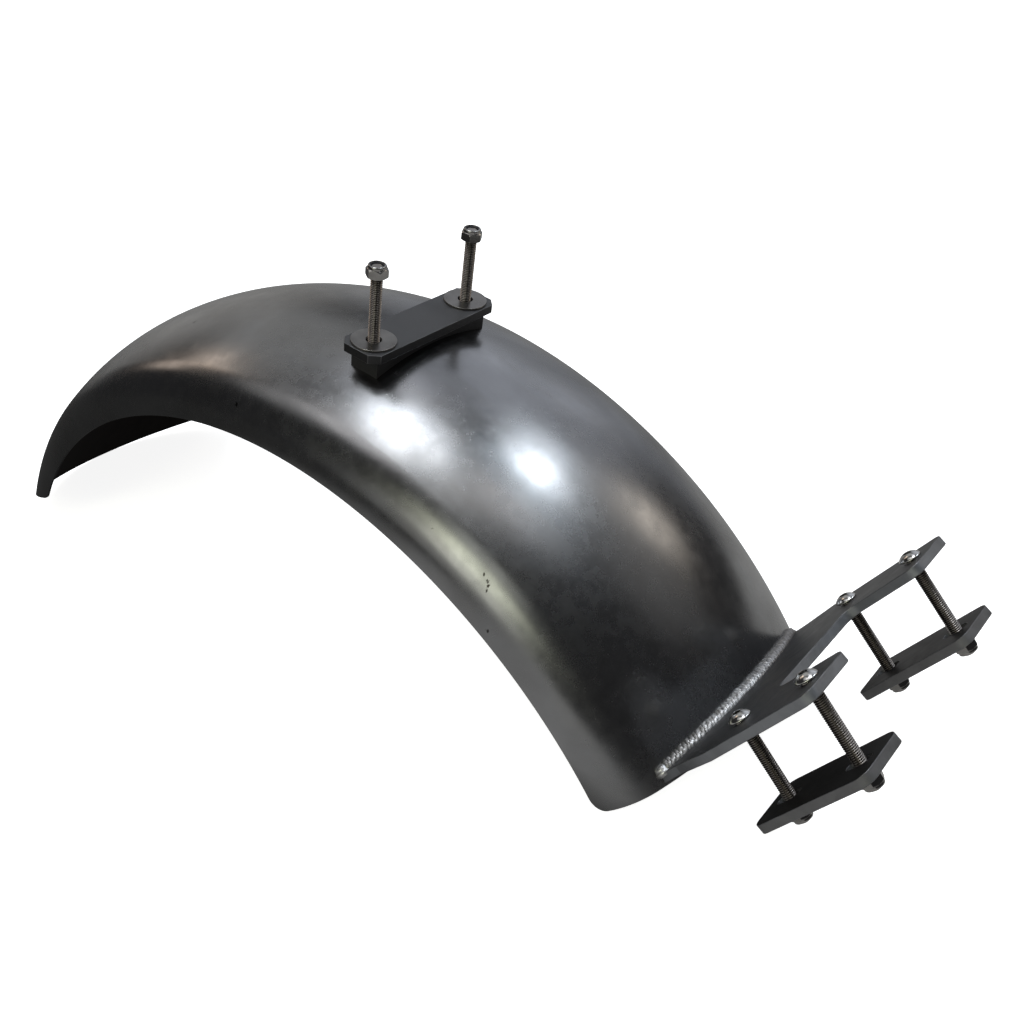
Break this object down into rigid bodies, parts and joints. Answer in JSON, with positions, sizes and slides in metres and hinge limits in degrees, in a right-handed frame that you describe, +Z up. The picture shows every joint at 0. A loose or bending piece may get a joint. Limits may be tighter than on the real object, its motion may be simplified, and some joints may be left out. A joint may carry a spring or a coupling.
{
  "type": "motorcycle rear fender",
  "caption": "Crowned steel rear fender shell with a rubber-seated plate and long bolts on its crown, and a bolted tube-clamp bracket welded across its front end.",
  "frame": {"origin": "middle of the part's bounding box at the level of the floor, on the fender's middle plane, with the fender standing on its own two ends", "axes": "+X forward along the fender, from the rear tip to the clamp bracket; +Y across the fender, to the right side; +Z up"},
  "size_m": [0.8178, 0.22, 0.2816],
  "materials": {
    "shell_steel": "raw pressed sheet steel, dark satin with soft clouded streaks",
    "plate_steel": "dark mill-scaled steel plate, satin",
    "weld_steel": "bright rippled weld bead",
    "fastener_steel": "polished stainless steel",
    "rubber": "matt black rubber",
    "nylon": "dark nylon"
  },
  "bodies": {
    "root": {"fender_shell": "shell_steel", "mounting_bracket": "plate_steel", "bracket_weld": "weld_steel", "rubber_pad": "rubber", "top_plate": "plate_steel", "washer_left": "fastener_steel", "washer_right": "fastener_steel", "inner_washer_left": "fastener_steel", "inner_washer_right": "fastener_steel", "clamp_plate_left": "plate_steel", "clamp_plate_right": "plate_steel", "top_bolt_left": "fastener_steel", "top_nut_left": "fastener_steel", "top_nut_ring_left": "nylon", "clamp_bolt_left_inner": "fastener_steel", "clamp_nut_left_inner": "fastener_steel", "clamp_nut_ring_left_inner": "nylon", "clamp_bolt_left_outer": "fastener_steel", "clamp_nut_left_outer": "fastener_steel", "clamp_nut_ring_left_outer": "nylon", "top_bolt_right": "fastener_steel", "top_nut_right": "fastener_steel", "top_nut_ring_right": "nylon", "clamp_bolt_right_inner": "fastener_steel", "clamp_nut_right_inner": "fastener_steel", "clamp_nut_ring_right_inner": "nylon", "clamp_bolt_right_outer": "fastener_steel", "clamp_nut_right_outer": "fastener_steel", "clamp_nut_ring_right_outer": "nylon"}
  },
  "joints": []
}
